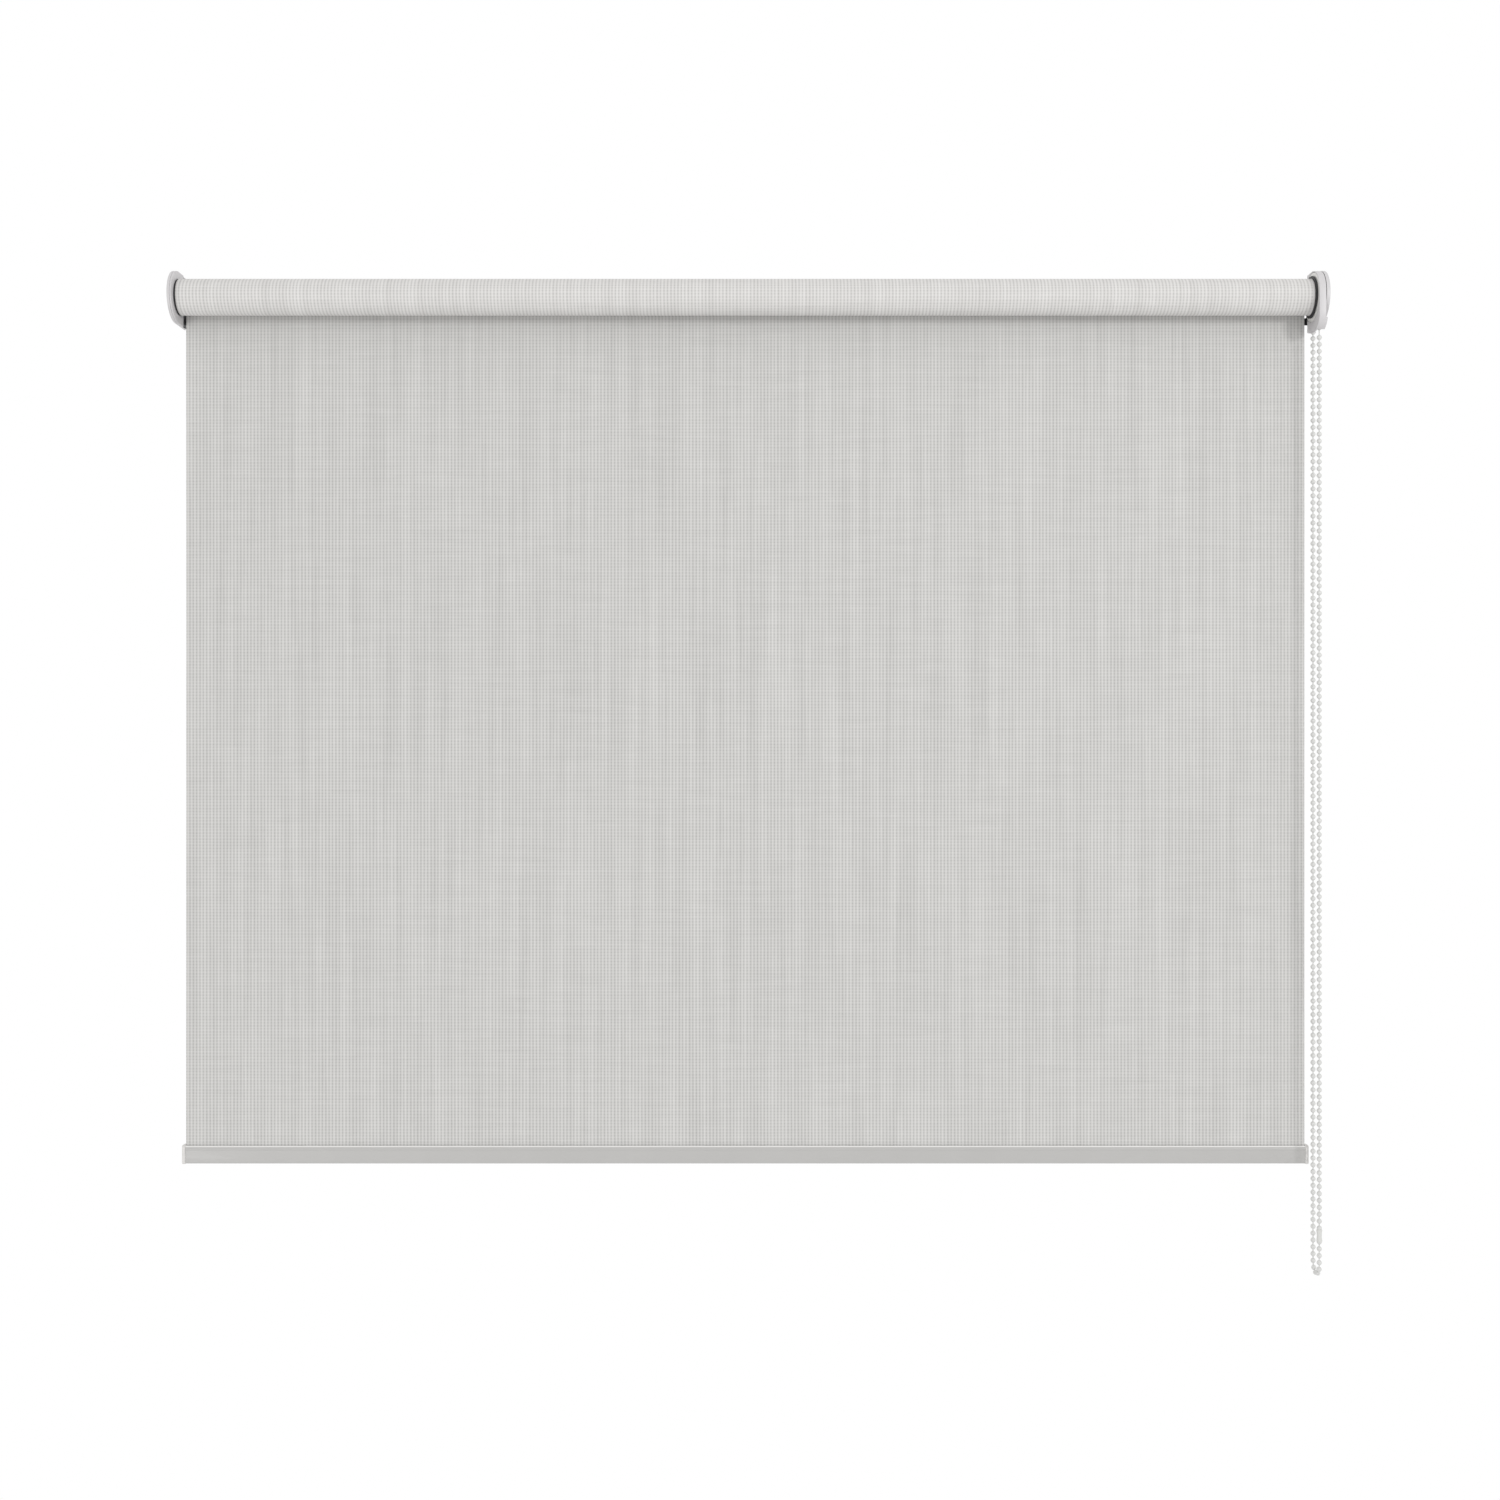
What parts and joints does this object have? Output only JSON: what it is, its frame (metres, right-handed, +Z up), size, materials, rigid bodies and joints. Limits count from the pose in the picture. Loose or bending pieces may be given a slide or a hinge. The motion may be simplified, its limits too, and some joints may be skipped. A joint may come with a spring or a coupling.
{
  "type": "roller blind",
  "caption": "Wall-mounted roller blind with a bead-chain drive, a light woven screen fabric hanging off the back of the roll, and a slim bottom rail.",
  "frame": {"origin": "on the wall, midway between the two brackets, at the height of the roller's axis", "axes": "+X along the roller towards the chain, +Y into the wall, +Z up"},
  "size_m": [1.0034, 0.0504, 0.8772],
  "materials": {
    "bracket_steel": "dark zinc and lacquer, satin",
    "cover_plastic": "moulded, fine satin texture",
    "white_acetal": "moulded, semi-gloss",
    "pin_steel": "turned and zinc plated",
    "spring_steel": "drawn wire",
    "dark_plastic": "moulded, satin",
    "tube_aluminium": "mill finish",
    "blind_fabric": "coated polyester plain weave, matt",
    "chain_plastic": "moulded, semi-gloss",
    "connector_plastic": "moulded, semi-gloss",
    "rail_finish": "powder coated, satin",
    "cap_plastic": "moulded, satin"
  },
  "bodies": {
    "brackets": {"left_bracket": "bracket_steel", "left_cover": "cover_plastic", "pin_bush": "white_acetal", "right_bracket": "bracket_steel", "right_cover": "cover_plastic", "chain_guard": "cover_plastic", "clutch_core": "dark_plastic", "core_screw": "pin_steel", "retaining_washer": "pin_steel", "chain_on_wheel": "chain_plastic", "chain_front_strand": "chain_plastic", "chain_loop": "chain_plastic", "chain_connector": "connector_plastic", "hanging_fabric": "blind_fabric"},
    "roller": {"roller_tube": "tube_aluminium", "tube_spline": "white_acetal", "fabric_roll": "blind_fabric", "idle_plug": "dark_plastic", "spring_retainer": "dark_plastic", "idle_spring": "spring_steel", "drive_crown": "dark_plastic", "chain_wheel": "white_acetal", "wrap_spring_inner": "spring_steel", "wrap_spring_outer": "spring_steel"},
    "pin": {"idle_pin": "pin_steel"},
    "rail": {"bottom_rail": "rail_finish", "bottom_spline": "white_acetal", "rail_cap_left": "cap_plastic", "rail_cap_right": "cap_plastic"}
  },
  "joints": [
    {"name": "roller_spin", "type": "hinge", "parent": "brackets", "child": "roller", "pos_m": [0, -0.028, 0], "axis": [1, 0, 0], "range_deg": [0, 2280], "deforming": ["chain_on_wheel"]},
    {"name": "rail_lift", "type": "slide", "parent": "brackets", "child": "rail", "axis": [0, 0, 1], "range_m": [0, 0.697], "deforming": ["hanging_fabric"]},
    {"name": "pin_slide", "type": "slide", "parent": "roller", "child": "pin", "axis": [1, 0, 0], "range_m": [0, 0.004], "stiffness_N_per_m": 600, "springref_m": -0.008, "deforming": ["idle_spring"]}
  ],
  "couplings": [
    {"joint": "rail_lift", "follows": "roller_spin", "m_per_rad": 0.0175}
  ]
}
